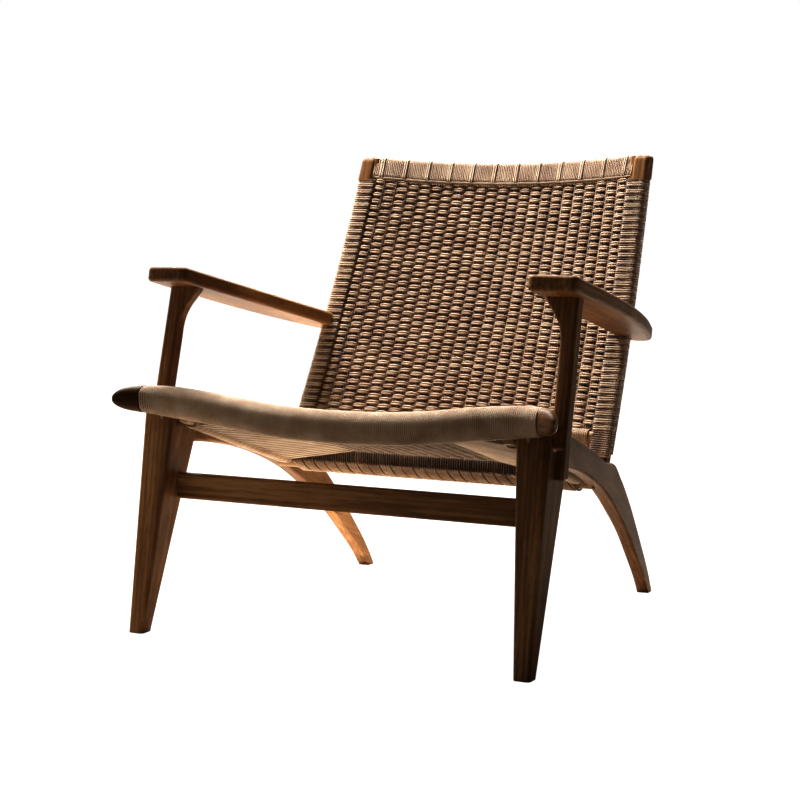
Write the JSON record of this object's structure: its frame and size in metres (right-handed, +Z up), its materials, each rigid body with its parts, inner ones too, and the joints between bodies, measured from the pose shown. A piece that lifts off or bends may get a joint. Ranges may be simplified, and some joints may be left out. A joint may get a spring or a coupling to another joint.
{
  "type": "wooden armchair",
  "caption": "Low wooden lounge armchair with a woven cord seat and back, sloping armrests, tapering front legs and curved rear legs.",
  "frame": {"origin": "on the floor, at the middle of the chair's box", "axes": "+Z up, the sitter faces -Y, +X to the sitter's left"},
  "size_m": [0.722, 0.6869, 0.728],
  "materials": {
    "wood": "oiled, semi-matt",
    "hidden_wood": "raw",
    "cord": "twisted paper cord, matt",
    "screw_steel": "zinc plated",
    "glide": "matt"
  },
  "bodies": {
    "root": {"armrest_dowels": "hidden_wood", "armrest_left": "wood", "armrest_right": "wood", "armrest_screws": "screw_steel", "back_bottom_rail": "hidden_wood", "back_bottom_rail_wrap": "cord", "back_post_dowels": "hidden_wood", "back_post_left": "wood", "back_post_right": "wood", "back_post_wrap_left": "cord", "back_post_wrap_right": "cord", "back_rail_dowels": "hidden_wood", "back_top_rail": "hidden_wood", "back_top_rail_wrap": "cord", "back_weave": "cord", "foot_glides": "glide", "front_leg_left": "wood", "front_leg_right": "wood", "front_rail_dowels": "hidden_wood", "front_stretcher": "wood", "leg_joint_dowels": "hidden_wood", "rear_leg_left": "wood", "rear_leg_right": "wood", "rear_rail_dowels": "hidden_wood", "seat_frame_dowels": "hidden_wood", "seat_front_rail": "wood", "seat_front_rail_wrap": "cord", "seat_rear_rail": "hidden_wood", "seat_rear_rail_wrap": "cord", "seat_side_rail_left": "hidden_wood", "seat_side_rail_right": "hidden_wood", "seat_side_rail_wrap_left": "cord", "seat_side_rail_wrap_right": "cord", "seat_weave": "cord"}
  },
  "joints": []
}
